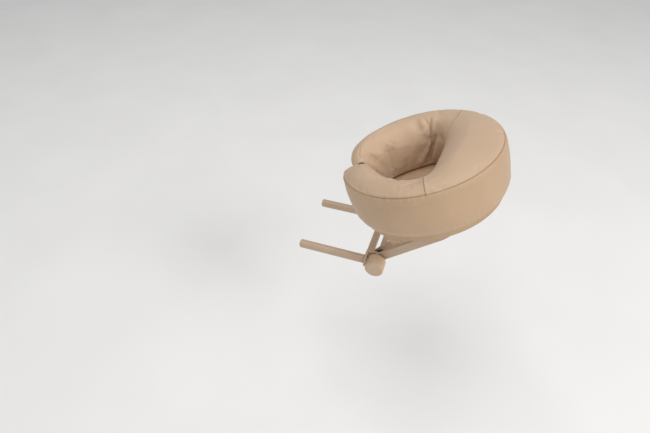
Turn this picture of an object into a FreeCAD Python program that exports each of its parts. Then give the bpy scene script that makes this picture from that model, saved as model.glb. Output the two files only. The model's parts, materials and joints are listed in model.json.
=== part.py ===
import FreeCAD, Part
import math
import os
import Sketcher
from FreeCAD import Placement, Rotation, Vector

# Face cradle for a massage table: a ring cushion on a horseshoe platform, carried by two
# splayed arms that tilt about a clamp shaft, on a base with two posts that plug into the table.
# Frame: origin at the middle of the crossbar's back face, between the two posts.
# +X points away from the table, +Y to the user's far side, +Z up. Millimetres.

os.makedirs("parts", exist_ok=True)
doc = FreeCAD.newDocument("FaceCradle")

SIZES = [
    ("seat_forward", 72, "seam plane centre, distance from the crossbar's back face"),
    ("seat_height", 251, "seam plane centre, height over the posts"),
    ("seat_tilt", 20, "degrees the cushion's front is raised at rest"),
    ("seat_twist", 6, "degrees the cushion is turned on its platform"),
    ("pad_radius", 151, "outer radius of the cushion"),
    ("pad_depth", 87, "outer seam down to the cushion's underside"),
    ("crown_rise", 11, "crown over the outer seam"),
    ("lip_radius", 18, "roll of the top into the face opening"),
    ("skin", 2, "cover with its backing"),
    ("slit_half", 0.6, "half the closed gap between the two chin lobes"),
    ("pile_gap", 0.3, "between hook and loop"),
    ("pile_thick", 1.4, "hook or loop pad"),
    ("pile_width", 23, "hook or loop pad"),
    ("pile_length", 110, "side pads"),
    ("pile_side", 95, "inner edge of the side pads"),
    ("pile_rear", -70, "rear end of the side pads"),
    ("pile_front", 72, "rear edge of the front pad"),
    ("board_radius", 140, "platform"),
    ("board_thick", 15, "platform"),
    ("board_slot", 42, "half width of the platform's opening"),
    ("board_slot_end", 30, "front end of the platform's opening"),
    ("board_slot_corner", 20, "corner radius of the platform's opening"),
    ("shaft_forward", 27, "clamp shaft in front of the crossbar's back face"),
    ("shaft_radius", 4, "clamp shaft"),
    ("shaft_bore", 4.05, "running bore on the clamp shaft"),
    ("shaft_near", 90, "near end of the clamp shaft"),
    ("shaft_far", 75, "far end of the clamp shaft"),
    ("arm_rise", 51.2, "degrees the arms rise from level"),
    ("arm_width", 20, "flat bar"),
    ("arm_thick", 5, "flat bar"),
    ("arm_span", 201.3, "clamp shaft to the arm's front bolt"),
    ("arm_inner", 62, "inner face of the arm at the shaft"),
    ("arm_splay_start", 16, "from the shaft to the first bend"),
    ("arm_splay_end", 186, "from the shaft to the second bend"),
    ("arm_front_inner", 102, "inner face of the arm at its front end"),
    ("spacer_radius", 9, "between bracket and lug"),
    ("bracket_inner", 43, "inner face of the bracket"),
    ("bracket_thick", 4, "steel plate"),
    ("bracket_hub", 12, "hub radius"),
    ("bracket_rear", 38, "rear end of the bracket's top edge"),
    ("bracket_front", 100, "front end of the bracket's top edge"),
    ("flange_thick", 3, "flanges under the platform"),
    ("flange_width", 23, "flanges under the platform"),
    ("tie_along", 16.3, "tie bar from the shaft, along the arm"),
    ("tie_above", 6, "tie bar from the shaft, square to the arm"),
    ("tie_radius", 6, "tie bar"),
    ("foot_width", 24, "angle under the platform"),
    ("foot_drop", 21, "angle's upright leg"),
    ("cleat_outer", 122, "outer face of the side cleat"),
    ("cleat_thick", 12, "side cleat"),
    ("cleat_drop", 22, "side cleat at its deep end"),
    ("lug_inner", 55, "inner face of the base lug"),
    ("lug_thick", 6, "base lug"),
    ("lug_radius", 11, "front end of the lug"),
    ("lug_foot", 5, "lug's turned foot, which carries the post"),
    ("bar_size", 14, "square crossbar"),
    ("post_side", 75, "post axis from the middle"),
    ("post_radius", 9.5, "post"),
    ("post_insert", 150, "post behind the crossbar's back face"),
    ("post_neck", 8.5, "relief beside the lug's foot"),
    ("post_neck_length", 1.5, "relief beside the lug's foot"),
    ("post_tenon", 6, "tenon through the lug's foot"),
    ("knob_radius", 20, "clamp knob"),
    ("knob_face", 100, "knob face from the middle"),
    ("knob_back", 70, "knob back from the middle"),
    ("knob_boss", 12, "boss on the knob's back"),
    ("knob_core", 7, "threaded insert in the knob"),
    ("cap_radius", 17, "cap let into the knob's face"),
    ("cap_thick", 3, "cap let into the knob's face"),
    ("washer_radius", 11, "washers and friction discs"),
    ("washer_thick", 1.5, "steel washer outside the arm"),
    ("disc_thick", 0.7, "friction disc between lug and arm"),
    ("slide_gap", 0.3, "between faces that turn on each other"),
    ("screw_radius", 2, "wood screw"),
    ("screw_head", 4, "wood screw"),
    ("screw_length", 14, "wood screw under its head"),
    ("bolt_radius", 3, "through bolt"),
    ("bolt_head", 5.5, "through bolt"),
    ("head_thick", 4, "bolt heads and nuts"),
]

sheet = doc.addObject("Spreadsheet::Sheet", "Sizes")
for row, (alias, number, meaning) in enumerate(SIZES, start=1):
    sheet.set("A%d" % row, meaning)
    sheet.set("B%d" % row, str(number))
    sheet.setAlias("B%d" % row, alias)
doc.recompute()


def size(alias):
    return float(sheet.get(alias))


subparts = []
SIDES = {"near": -1, "far": 1}
Y_AXIS = Rotation(Vector(1, 0, 0), -90)   # turns a primitive's +Z axis to +Y

seat = Placement(Vector(size("seat_forward"), 0, size("seat_height")),
                 Rotation(Vector(0, 1, 0), -size("seat_tilt")))
cushion_seat = seat.multiply(Placement(Vector(), Rotation(Vector(0, 0, 1), -size("seat_twist"))))
arm_frame = Placement(Vector(size("shaft_forward"), 0, 0), Rotation(Vector(0, 1, 0), -size("arm_rise")))
shaft_frame = Placement(Vector(size("shaft_forward"), 0, 0), Rotation())

pad_top = size("crown_rise")
pad_low = -size("pad_depth")
pile_top = pad_low
board_top = pad_low - 2 * size("pile_thick") - size("pile_gap")
board_low = board_top - size("board_thick")


def keep(feature, label):
    """Names a finished sub-part and notes it for export."""
    feature.Label = label
    subparts.append(feature)
    return feature


def box(name, corner, lengths, placement=Placement()):
    """A box from its low corner; each length is a number or an expression on the sheet."""
    feature = doc.addObject("Part::Box", name)
    for prop, length in zip(("Length", "Width", "Height"), lengths):
        if isinstance(length, str):
            feature.setExpression(prop, length)
        else:
            setattr(feature, prop, length)
    feature.Placement = placement.multiply(Placement(Vector(*corner), Rotation()))
    return feature


def rod(name, start, length, radius_expression, placement=Placement(), turn=Rotation()):
    """A cylinder from its start point, along +Z of its turned frame."""
    feature = doc.addObject("Part::Cylinder", name)
    feature.setExpression("Radius", radius_expression)
    feature.Height = length
    feature.Placement = placement.multiply(Placement(Vector(*start), turn))
    return feature


def cut(name, base, tools):
    """Base minus every tool, as a chain of Part::Cut."""
    for number, tool in enumerate(tools):
        feature = doc.addObject("Part::Cut", "%s_%d" % (name, number))
        feature.Base = base
        feature.Tool = tool
        base = feature
    return base


def join(name, first, second):
    feature = doc.addObject("Part::Fuse", name)
    feature.Base = first
    feature.Tool = second
    return feature


def common(name, first, second):
    feature = doc.addObject("Part::Common", name)
    feature.Base = first
    feature.Tool = second
    return feature


def origin_plane(body, role):
    for feature in body.Origin.OriginFeatures:
        if feature.Role == role:
            return feature


def new_sketch(body, name, role, offset=0.0):
    sketch = body.newObject("Sketcher::SketchObject", name)
    sketch.AttachmentSupport = (origin_plane(body, role), [""])
    sketch.MapMode = "FlatFace"
    sketch.AttachmentOffset = Placement(Vector(0, 0, offset), Rotation())
    return sketch


def draw_loop(sketch, start, segments):
    """A closed loop of lines (end,) and three-point arcs (through, end)."""
    here = Vector(start[0], start[1], 0)
    for segment in segments:
        end = Vector(segment[-1][0], segment[-1][1], 0)
        if len(segment) == 1:
            sketch.addGeometry(Part.LineSegment(here, end))
        else:
            through = Vector(segment[0][0], segment[0][1], 0)
            sketch.addGeometry(Part.Arc(here, through, end))
        here = end


def plate(name, start, segments, high_y, thick_expression, placement=Placement(), role="XZ_Plane"):
    """A flat plate: drawn in the side plane at its high Y face and padded towards -Y."""
    body = doc.addObject("PartDesign::Body", name)
    offset = -high_y if role == "XZ_Plane" else high_y
    sketch = new_sketch(body, name + "_outline", role, offset)
    draw_loop(sketch, start, segments)
    pad = body.newObject("PartDesign::Pad", name + "_pad")
    pad.Profile = sketch
    pad.setExpression("Length", thick_expression)
    body.Placement = placement
    doc.recompute()
    return body


def turned(name, points, placement):
    """A body turned about +Y from (radius, along) corners given as expressions on the sheet."""
    body = doc.addObject("PartDesign::Body", name)
    sketch = new_sketch(body, name + "_profile", "XY_Plane")
    values = []
    for radius, along in points:
        values.append(Vector(float(sheet.evalExpression(radius)), float(sheet.evalExpression(along)), 0))
    count = len(values)
    for index in range(count):
        sketch.addGeometry(Part.LineSegment(values[index], values[(index + 1) % count]))
    for index in range(count):
        sketch.addConstraint(Sketcher.Constraint("Coincident", index, 2, (index + 1) % count, 1))
    for index, (radius, along) in enumerate(points):
        for kind, letter, text, number in (("DistanceX", "r", radius, values[index].x),
                                           ("DistanceY", "y", along, values[index].y)):
            if abs(number) < 1e-9:
                axis = -2 if kind == "DistanceX" else -1
                sketch.addConstraint(Sketcher.Constraint("PointOnObject", index, 1, axis))
                continue
            made = sketch.addConstraint(Sketcher.Constraint(kind, -1, 1, index, 1, number))
            sketch.renameConstraint(made, "%s%d" % (letter, index))
            if "Sizes" in text:
                sketch.setExpression("Constraints.%s%d" % (letter, index), text)
    turn = body.newObject("PartDesign::Revolution", name + "_turn")
    turn.Profile = sketch
    turn.ReferenceAxis = (sketch, ["V_Axis"])
    turn.Angle = 360
    body.Placement = placement
    doc.recompute()
    return body


def span(side, inner, outer):
    """Low and high Y of something between two distances from the middle, on one side."""
    return (-outer, -inner) if side < 0 else (inner, outer)


def ring_part(name, side, inner, outer, bore, rim, placement):
    """A washer-like sub-part about the Y axis of its placement; sizes are expressions."""
    near, far = ("-(%s)" % outer, "-(%s)" % inner) if side < 0 else (inner, outer)
    return turned(name, [(bore, near), (rim, near), (rim, far), (bore, far)], placement)


# ---- cushion ------------------------------------------------------------------------------

# Near half of the face opening at the cover's inner wall, chin to forehead, cushion frame.
HOLE_HALF = [(-107, 0), (-101, 21), (-84, 42), (-60, 62), (-32, 79), (-2, 91), (20, 90), (33, 74), (36, 40)]
HOLE_FRONT = (36.5, 0)
SEAM_INNER = (28, 84)     # panel seam where it reaches the face opening
SEAM_OUTER = (60, 165)    # same seam, carried on past the rim
REACH = 200.0             # anything past the cushion's rim


def hole_edge(inset, slit, height):
    """The opening's edge from the near chin lobe round the forehead to the far one."""
    near = [(along, -across) for along, across in HOLE_HALF]
    far = [(along, across) for along, across in reversed(HOLE_HALF)]
    middle = near[1:] + [HOLE_FRONT] + far[:-1]
    points = [Vector(HOLE_HALF[0][0] - inset, -slit, height)]
    whole = [HOLE_HALF[0]] + middle + [HOLE_HALF[0]]
    for index in range(1, len(whole) - 1):
        step = Vector(whole[index + 1][0] - whole[index - 1][0], whole[index + 1][1] - whole[index - 1][1], 0)
        step.normalize()
        outward = Vector(step.y, -step.x, 0)
        points.append(Vector(whole[index][0], whole[index][1], height) + outward * inset)
    points.append(Vector(HOLE_HALF[0][0] - inset, slit, height))
    curve = Part.BSplineCurve()
    curve.interpolate(Points=points)
    return curve.toShape()


def lip_tool(inset, slit, high, lip_round):
    """What is cut away to roll the top into the opening: three outlines, ruled together."""
    wires = []
    for degrees in (0, 45, 90):
        grow = lip_round * (1 - math.cos(math.radians(degrees)))
        drop = lip_round * (1 - math.sin(math.radians(degrees)))
        edge = hole_edge(inset + grow, slit, high - drop)
        wires.append(Part.Wire([edge, Part.makeLine(edge.Vertexes[-1].Point, edge.Vertexes[0].Point)]))
    return Part.makeLoft(wires, True, True)


def ring_solid(inset, low, high, rim_round, lip_round):
    """The cushion's ring with a closed slit at the chin, its rim and lip rounded over."""
    radius = size("pad_radius") - inset
    slit = size("slit_half") + inset
    inner = hole_edge(inset, slit, low)
    rear = math.sqrt(radius * radius - slit * slit)
    rim = Part.Arc(Vector(-rear, slit, low), Vector(radius, 0, low), Vector(-rear, -slit, low)).toShape()
    near_slit = Part.makeLine(Vector(-rear, -slit, low), inner.Vertexes[0].Point)
    far_slit = Part.makeLine(inner.Vertexes[-1].Point, Vector(-rear, slit, low))
    face = Part.Face(Part.Wire([near_slit, inner, far_slit, rim]))
    solid = face.extrude(Vector(0, 0, high - low))
    rims = []
    for edge in solid.Edges:
        middle = edge.valueAt((edge.FirstParameter + edge.LastParameter) / 2)
        if abs(middle.z - high) < 0.01 and math.hypot(middle.x, middle.y) > radius - 1:
            rims.append(edge)
    return solid.makeFillet(rim_round, rims).cut(lip_tool(inset, slit, high, lip_round))


def shape_feature(name, shape, placement):
    feature = doc.addObject("Part::Feature", name)
    feature.Shape = shape
    feature.Placement = placement
    return feature


def sector(name, corners):
    """An upright prism over a plan polygon, taller than the cushion."""
    points = [Vector(along, across, pad_low - 10) for along, across in corners]
    face = Part.Face(Part.makePolygon(points + points[:1]))
    return shape_feature(name, face.extrude(Vector(0, 0, pad_top - pad_low + 20)), cushion_seat)


skin = size("skin")
cover_solid = ring_solid(0, pad_low, pad_top, size("crown_rise"), size("lip_radius"))
foam_solid = ring_solid(skin, pad_low + skin, pad_top - skin, size("crown_rise") - skin,
                        size("lip_radius") - skin)
foam = keep(shape_feature("FoamCore", foam_solid, cushion_seat), "foam_core")
cover = cut("Cover", shape_feature("CoverBlock", cover_solid, cushion_seat), [foam])

band_outer = rod("BandOuter", (0, 0, pad_low), size("pad_depth"), "Sizes.pad_radius + 5", cushion_seat)
band_inner = rod("BandInner", (0, 0, pad_low), size("pad_depth"), "Sizes.pad_radius - Sizes.skin",
                 cushion_seat)
band_ring = cut("BandRing", band_outer, [band_inner])
floor_disc = rod("FloorDisc", (0, 0, pad_low), skin, "Sizes.pad_radius - Sizes.skin", cushion_seat)
keep(common("OuterBand", cover, band_ring), "outer_band")
keep(common("BottomPanel", cover, floor_disc), "bottom_panel")
upper = cut("UpperCover", cover, [band_ring, floor_disc])
near_inner, near_outer = (SEAM_INNER[0], -SEAM_INNER[1]), (SEAM_OUTER[0], -SEAM_OUTER[1])
front_zone = sector("FrontZone", [(0, 0), near_inner, near_outer, (REACH, -SEAM_OUTER[1]),
                                  (REACH, SEAM_OUTER[1]), SEAM_OUTER, SEAM_INNER])
near_zone = sector("NearZone", [(-REACH, 0), (0, 0), near_inner, near_outer, (-REACH, -SEAM_OUTER[1])])
far_zone = sector("FarZone", [(-REACH, 0), (0, 0), SEAM_INNER, SEAM_OUTER, (-REACH, SEAM_OUTER[1])])
keep(common("ForeheadPanel", upper, front_zone), "forehead_panel")
keep(common("CheekPanelNear", upper, near_zone), "cheek_panel_near")
keep(common("CheekPanelFar", upper, far_zone), "cheek_panel_far")


def pile_pads(kind, low, placement):
    """Three strips of hook or loop: one under each cheek and one under the forehead."""
    length, width = size("pile_length"), size("pile_width")
    for place, side in SIDES.items():
        across = span(side, size("pile_side"), size("pile_side") + width)[0]
        strip = box(kind + place, (size("pile_rear"), across, low),
                    ("Sizes.pile_length", "Sizes.pile_width", "Sizes.pile_thick"), placement)
        keep(strip, "%s_pad_%s" % (kind, place))
    front = box(kind + "front", (size("pile_front"), -length / 2, low),
                ("Sizes.pile_width", "Sizes.pile_length", "Sizes.pile_thick"), placement)
    keep(front, kind + "_pad_front")


pile_pads("loop", pile_top - size("pile_thick"), cushion_seat)
pile_pads("hook", board_top, seat)

# ---- platform -----------------------------------------------------------------------------

slot, slot_end, corner = size("board_slot"), size("board_slot_end"), size("board_slot_corner")
board_radius = size("board_radius")
leg_end = -math.sqrt(board_radius ** 2 - slot ** 2)
corner_mid = corner * (1 - math.sqrt(0.5))
board_blank = plate("PlatformBlank", (leg_end, -slot), [
    ((board_radius, 0), (leg_end, slot)),
    ((slot_end - corner, slot),),
    ((slot_end - corner_mid, slot - corner_mid), (slot_end, slot - corner)),
    ((slot_end, corner - slot),),
    ((slot_end - corner_mid, corner_mid - slot), (slot_end - corner, -slot)),
    ((leg_end, -slot),),
], board_low, "Sizes.board_thick", seat, "XY_Plane")

# Screws come up through the flanges of the brackets and feet: (along, from the middle).
flange_thick = size("flange_thick")
flange_inner = size("bracket_inner") - size("flange_width")
BRACKET_SCREWS = [(52, flange_inner + 11), (86, flange_inner + 11)]
foot_inner = size("arm_front_inner") - flange_thick - size("flange_width")
FOOT_SCREW = (44, foot_inner + 11)
flange_low = board_low - flange_thick


def screw_holes(name, spots, side):
    length = flange_thick + size("screw_length")
    holes = []
    for number, (along, across) in enumerate(spots):
        start = (along, side * across, flange_low)
        holes.append(rod("%s_%d" % (name, number), start, length, "Sizes.screw_radius + 0.05", seat))
    return holes


def wood_screw(label, spot, side):
    along, across = spot[0], side * spot[1]
    head = rod(label + "Head", (along, across, flange_low - 2.5), 2.5, "Sizes.screw_head", seat)
    shank = rod(label + "Shank", (along, across, flange_low), size("screw_length"),
                "Sizes.screw_radius", seat)
    keep(join(label + "Screw", head, shank), label)


def side_hole(name, centre, radius_expression, placement):
    """A long hole along Y through a point of the placement's side plane."""
    start = (centre[0], -REACH, centre[1])
    return rod(name, start, 2 * REACH, radius_expression, placement, Y_AXIS)


board_holes = []
for place, side in SIDES.items():
    board_holes += screw_holes("BoardHole" + place, BRACKET_SCREWS + [FOOT_SCREW], side)
keep(cut("Platform", board_blank, board_holes), "platform")

# ---- arms, brackets and what joins them ---------------------------------------------------

shaft_in_seat = seat.inverse().multVec(Vector(size("shaft_forward"), 0, 0))
arm_turn = math.radians(size("arm_rise") - size("seat_tilt"))
arm_tip = size("arm_span")
front_bolt = (shaft_in_seat.x + arm_tip * math.cos(arm_turn), shaft_in_seat.z + arm_tip * math.sin(arm_turn))
tie_spot = (size("tie_along"), size("tie_above"))
CLEAT_REAR, CLEAT_DEEP, CLEAT_FRONT = -68, -58, 30
CLEAT_SCREW = (-42, board_low - 14)


def arm_blank(name, side):
    """The bent flat bar, drawn in plan and padded to its width, its two ends rounded."""
    inner, thick = size("arm_inner"), size("arm_thick")
    front_inner = size("arm_front_inner")
    first, second = size("arm_splay_start"), size("arm_splay_end")
    half = size("arm_width") / 2
    shift = thick * math.tan(math.atan2(front_inner - inner, second - first) / 2)
    corners = [(-half, inner), (first + shift, inner), (second + shift, front_inner),
               (arm_tip + half, front_inner), (arm_tip + half, front_inner + thick),
               (second, front_inner + thick), (first, inner + thick), (-half, inner + thick)]
    corners = [(along, side * across) for along, across in corners]
    body = plate(name, corners[0], [(corner,) for corner in corners[1:] + corners[:1]],
                 -half, "Sizes.arm_width", arm_frame, "XY_Plane")
    pad = body.Tip
    ends = []
    for number, edge in enumerate(pad.Shape.Edges, start=1):
        first_end, last_end = edge.Vertexes[0].Point, edge.Vertexes[-1].Point
        crosswise = abs(last_end.y - first_end.y) > thick / 2 and abs(last_end.x - first_end.x) < 0.01
        at_end = min(abs(first_end.x + half), abs(first_end.x - arm_tip - half)) < 0.01
        if crosswise and at_end:
            ends.append("Edge%d" % number)
    rounding = body.newObject("PartDesign::Fillet", name + "_ends")
    rounding.Base = (pad, ends)
    rounding.setExpression("Radius", "Sizes.arm_width / 2 - 0.05")
    doc.recompute()
    return body


def tangent_point(centre, radius, target, left):
    """Where the line from target touches the circle, on the left or right of the way out."""
    away = math.atan2(target[1] - centre[1], target[0] - centre[0])
    reach = math.hypot(target[0] - centre[0], target[1] - centre[1])
    lean = math.acos(radius / reach)
    angle = away + lean if left else away - lean
    return (centre[0] + radius * math.cos(angle), centre[1] + radius * math.sin(angle))


def bracket_blank(name, side):
    """A steel plate from the hub up to the platform, with an inward flange to screw it on."""
    hub, radius = (shaft_in_seat.x, shaft_in_seat.z), size("bracket_hub")
    rear, front = (size("bracket_rear"), board_low), (size("bracket_front"), board_low)
    left, right = tangent_point(hub, radius, rear, True), tangent_point(hub, radius, front, False)
    bottom = (hub[0] - radius * math.cos(arm_turn), hub[1] - radius * math.sin(arm_turn))
    inner, thick = size("bracket_inner"), size("bracket_thick")
    web = plate(name + "Web", rear, [(front,), (right,), (bottom, left), (rear,)],
                span(side, inner, inner + thick)[1], "Sizes.bracket_thick", seat)
    low_y = span(side, flange_inner, inner)[0]
    flange = box(name + "Flange", (rear[0] + 6, low_y, flange_low),
                 (front[0] - rear[0] - 8, "Sizes.flange_width", "Sizes.flange_thick"), seat)
    return join(name + "Blank", web, flange)


def foot_blank(name, side):
    outer = size("arm_front_inner")
    start = front_bolt[0] - size("foot_width") / 2
    leg_low = (start, span(side, outer - flange_thick, outer)[0], board_low - size("foot_drop"))
    leg = box(name + "Leg", leg_low,
              ("Sizes.foot_width", "Sizes.flange_thick", "Sizes.foot_drop"), seat)
    flange = box(name + "Flange", (start, span(side, foot_inner, outer - flange_thick)[0], flange_low),
                 ("Sizes.foot_width", "Sizes.flange_width", "Sizes.flange_thick"), seat)
    return join(name + "Blank", leg, flange)


def mirrored(points, side):
    """Profile corners for the near or the far side."""
    return [(radius, "-(%s)" % along if side < 0 else along) for radius, along in points]


front_frame = Placement(seat.multVec(Vector(front_bolt[0], 0, front_bolt[1])), Rotation())
tie_frame = Placement(arm_frame.multVec(Vector(tie_spot[0], 0, tie_spot[1])), Rotation())
cleat_frame = Placement(seat.multVec(Vector(CLEAT_SCREW[0], 0, CLEAT_SCREW[1])), Rotation())
arm_outer = "Sizes.arm_inner + Sizes.arm_thick"
front_outer = "Sizes.arm_front_inner + Sizes.arm_thick"
bracket_outer = "Sizes.bracket_inner + Sizes.bracket_thick"
lug_outer = "Sizes.lug_inner + Sizes.lug_thick"
washer_outer = arm_outer + " + Sizes.slide_gap + Sizes.washer_thick"

for place, side in SIDES.items():
    tag = place.capitalize()
    shaft_hole = side_hole("ArmShaftHole" + tag, (0, 0), "Sizes.shaft_bore", arm_frame)
    bolt_hole = side_hole("ArmBoltHole" + tag, (arm_tip, 0), "Sizes.bolt_radius + 0.2", arm_frame)
    keep(cut("Arm" + tag, arm_blank("ArmBlank" + tag, side), [shaft_hole, bolt_hole]), "arm_" + place)

    tools = [side_hole("BracketHole" + tag, (0, 0), "Sizes.shaft_bore", arm_frame),
             side_hole("TieHole" + tag, tie_spot, "Sizes.bolt_radius + 0.2", arm_frame)]
    tools += screw_holes("FlangeHole" + tag, BRACKET_SCREWS, side)
    keep(cut("Bracket" + tag, bracket_blank("Bracket" + tag, side), tools), "bracket_" + place)

    tools = [side_hole("FootBoltHole" + tag, front_bolt, "Sizes.bolt_radius + 0.2", seat)]
    tools += screw_holes("FootHole" + tag, [FOOT_SCREW], side)
    keep(cut("Foot" + tag, foot_blank("Foot" + tag, side), tools), "foot_" + place)

    keep(ring_part("Spacer" + tag, side, bracket_outer, "Sizes.lug_inner - Sizes.slide_gap",
                   "Sizes.shaft_bore", "Sizes.spacer_radius", shaft_frame), "spacer_" + place)

    keep(turned("TieBolt" + tag, mirrored([
        ("0", "Sizes.bracket_inner - 13"), ("Sizes.bolt_radius", "Sizes.bracket_inner - 13"),
        ("Sizes.bolt_radius", bracket_outer), ("Sizes.bolt_head - 0.5", bracket_outer),
        ("Sizes.bolt_head - 0.5", bracket_outer + " + Sizes.head_thick - 1"),
        ("Sizes.bolt_head - 1.5", bracket_outer + " + Sizes.head_thick"),
        ("0", bracket_outer + " + Sizes.head_thick")], side), tie_frame), "tie_bolt_" + place)

    keep(turned("FrontBolt" + tag, mirrored([
        ("0", "Sizes.arm_front_inner - 9"), ("Sizes.bolt_radius", "Sizes.arm_front_inner - 9"),
        ("Sizes.bolt_radius", front_outer), ("Sizes.bolt_head", front_outer),
        ("Sizes.bolt_head", front_outer + " + Sizes.head_thick - 1.5"),
        ("Sizes.bolt_head - 1.5", front_outer + " + Sizes.head_thick"),
        ("0", front_outer + " + Sizes.head_thick")], side), front_frame), "front_bolt_" + place)

    nut_outer = "Sizes.arm_front_inner - Sizes.flange_thick"
    keep(ring_part("FrontNut" + tag, side, nut_outer + " - Sizes.head_thick", nut_outer,
                   "Sizes.bolt_radius + 0.02", "Sizes.bolt_head", front_frame), "front_nut_" + place)

    cleat = plate("Cleat" + tag, (CLEAT_REAR, board_low), [
        ((CLEAT_FRONT, board_low),), ((CLEAT_FRONT, board_low - 4),),
        ((CLEAT_DEEP, board_low - size("cleat_drop")),), ((CLEAT_REAR, board_low),),
    ], span(side, size("cleat_outer") - size("cleat_thick"), size("cleat_outer"))[1],
        "Sizes.cleat_thick", seat)
    cleat_hole = ring_part("CleatHole" + tag, side, "Sizes.cleat_outer - 10", "Sizes.cleat_outer",
                           "0", "Sizes.screw_radius + 0.05", cleat_frame)
    keep(cut("CleatBored" + tag, cleat, [cleat_hole]), "cleat_" + place)
    keep(turned("CleatScrew" + tag, mirrored([
        ("0", "Sizes.cleat_outer - 9"), ("Sizes.screw_radius", "Sizes.cleat_outer - 9"),
        ("Sizes.screw_radius", "Sizes.cleat_outer"), ("Sizes.screw_head - 1", "Sizes.cleat_outer"),
        ("Sizes.screw_head - 1", "Sizes.cleat_outer + 1"), ("0", "Sizes.cleat_outer + 1.5")],
        side), cleat_frame), "cleat_screw_" + place)

    for number, spot in enumerate(BRACKET_SCREWS, start=1):
        wood_screw("bracket_screw_%s_%d" % (place, number), spot, side)
    wood_screw("foot_screw_" + place, FOOT_SCREW, side)

keep(turned("TieBar", [
    ("0", "-(Sizes.bracket_inner - 15)"), ("Sizes.bolt_radius + 0.02", "-(Sizes.bracket_inner - 15)"),
    ("Sizes.bolt_radius + 0.02", "-Sizes.bracket_inner"), ("Sizes.tie_radius", "-Sizes.bracket_inner"),
    ("Sizes.tie_radius", "Sizes.bracket_inner"), ("Sizes.bolt_radius + 0.02", "Sizes.bracket_inner"),
    ("Sizes.bolt_radius + 0.02", "Sizes.bracket_inner - 15"), ("0", "Sizes.bracket_inner - 15"),
], tie_frame), "tie_bar")

# ---- base: crossbar, posts, lugs, clamp shaft ---------------------------------------------

bar = size("bar_size")
bar_half = size("lug_inner")
keep(box("Crossbar", (0, -bar_half, -bar / 2), ("Sizes.bar_size", "Sizes.lug_inner * 2", "Sizes.bar_size")),
     "crossbar")
for place, side in SIDES.items():
    tag = place.capitalize()
    axis = size("shaft_forward")
    lug_radius = size("lug_radius")
    lug = plate("Lug" + tag, (0, -lug_radius), [
        ((axis, -lug_radius),), ((axis + lug_radius, 0), (axis, lug_radius)),
        ((0, lug_radius),), ((0, -lug_radius),),
    ], span(side, bar_half, bar_half + size("lug_thick"))[1], "Sizes.lug_thick")
    reach = size("post_side") + lug_radius - bar_half
    foot = box("LugFoot" + tag, (0, span(side, bar_half, bar_half + reach)[0], -lug_radius),
               ("Sizes.lug_foot", reach, "Sizes.lug_radius * 2"))

    # The post's own +Y runs back into the table; its tenon fills a hole in the lug's foot.
    post_frame = Placement(Vector(0, side * size("post_side"), 0), Rotation(Vector(0, 0, 1), 90))
    tenon_hole = turned("TenonHole" + tag, [
        ("0", "-Sizes.lug_foot - 1"), ("Sizes.post_tenon + 0.02", "-Sizes.lug_foot - 1"),
        ("Sizes.post_tenon + 0.02", "1"), ("0", "1")], post_frame)
    shaft_hole = side_hole("LugHole" + tag, (axis, 0), "Sizes.shaft_bore", Placement())
    keep(cut("LugBored" + tag, join("LugBlank" + tag, lug, foot), [shaft_hole, tenon_hole]), "lug_" + place)
    keep(turned("Post" + tag, [
        ("0", "-Sizes.lug_foot"), ("Sizes.post_tenon", "-Sizes.lug_foot"), ("Sizes.post_tenon", "0"),
        ("Sizes.post_neck", "0"), ("Sizes.post_neck", "Sizes.post_neck_length"),
        ("Sizes.post_radius", "Sizes.post_neck_length"), ("Sizes.post_radius", "Sizes.post_insert - 2"),
        ("Sizes.post_radius - 2", "Sizes.post_insert"), ("0", "Sizes.post_insert")], post_frame),
         "post_" + place)

    keep(ring_part("Washer" + tag, side, arm_outer + " + Sizes.slide_gap", washer_outer,
                   "Sizes.shaft_bore", "Sizes.washer_radius", shaft_frame), "washer_" + place)
    keep(ring_part("Disc" + tag, side, lug_outer, lug_outer + " + Sizes.disc_thick",
                   "Sizes.shaft_bore", "Sizes.washer_radius", shaft_frame), "friction_disc_" + place)

keep(turned("ClampShaft", [
    ("0", "-Sizes.shaft_near"), ("Sizes.shaft_radius", "-Sizes.shaft_near"),
    ("Sizes.shaft_radius", "Sizes.shaft_far"), ("0", "Sizes.shaft_far")], shaft_frame), "clamp_shaft")
keep(turned("CapNut", [
    ("Sizes.shaft_bore", washer_outer), ("8", washer_outer), ("8", "Sizes.shaft_far"),
    ("6.5", "Sizes.shaft_far + 4"), ("3.5", "Sizes.shaft_far + 6"), ("0", "Sizes.shaft_far + 6.5"),
    ("0", "Sizes.shaft_far"), ("Sizes.shaft_bore", "Sizes.shaft_far")], shaft_frame), "cap_nut")

# ---- clamp knob ---------------------------------------------------------------------------

boss_end = "-(%s + Sizes.slide_gap)" % washer_outer
cap_seat = "-(Sizes.knob_face - Sizes.cap_thick)"
keep(turned("Knob", [
    ("Sizes.knob_core", boss_end), ("Sizes.knob_boss", boss_end), ("Sizes.knob_boss", "-Sizes.knob_back"),
    ("Sizes.knob_radius - 1.5", "-Sizes.knob_back"), ("Sizes.knob_radius", "-Sizes.knob_back - 1.5"),
    ("Sizes.knob_radius", "-Sizes.knob_face + 2"), ("Sizes.knob_radius - 2", "-Sizes.knob_face"),
    ("Sizes.cap_radius", "-Sizes.knob_face"), ("Sizes.cap_radius", cap_seat),
    ("Sizes.knob_core", cap_seat)], shaft_frame), "knob")
keep(turned("KnobInsert", [
    ("Sizes.shaft_bore", boss_end), ("Sizes.knob_core", boss_end),
    ("Sizes.knob_core", "-(Sizes.shaft_near + 3)"), ("Sizes.shaft_bore", "-(Sizes.shaft_near + 3)")],
    shaft_frame), "knob_insert")
keep(turned("KnobCap", [
    ("0", cap_seat), ("Sizes.cap_radius", cap_seat), ("Sizes.cap_radius", "-Sizes.knob_face + 0.8"),
    ("Sizes.cap_radius - 0.8", "-Sizes.knob_face"), ("0", "-Sizes.knob_face")], shaft_frame), "knob_cap")

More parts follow.
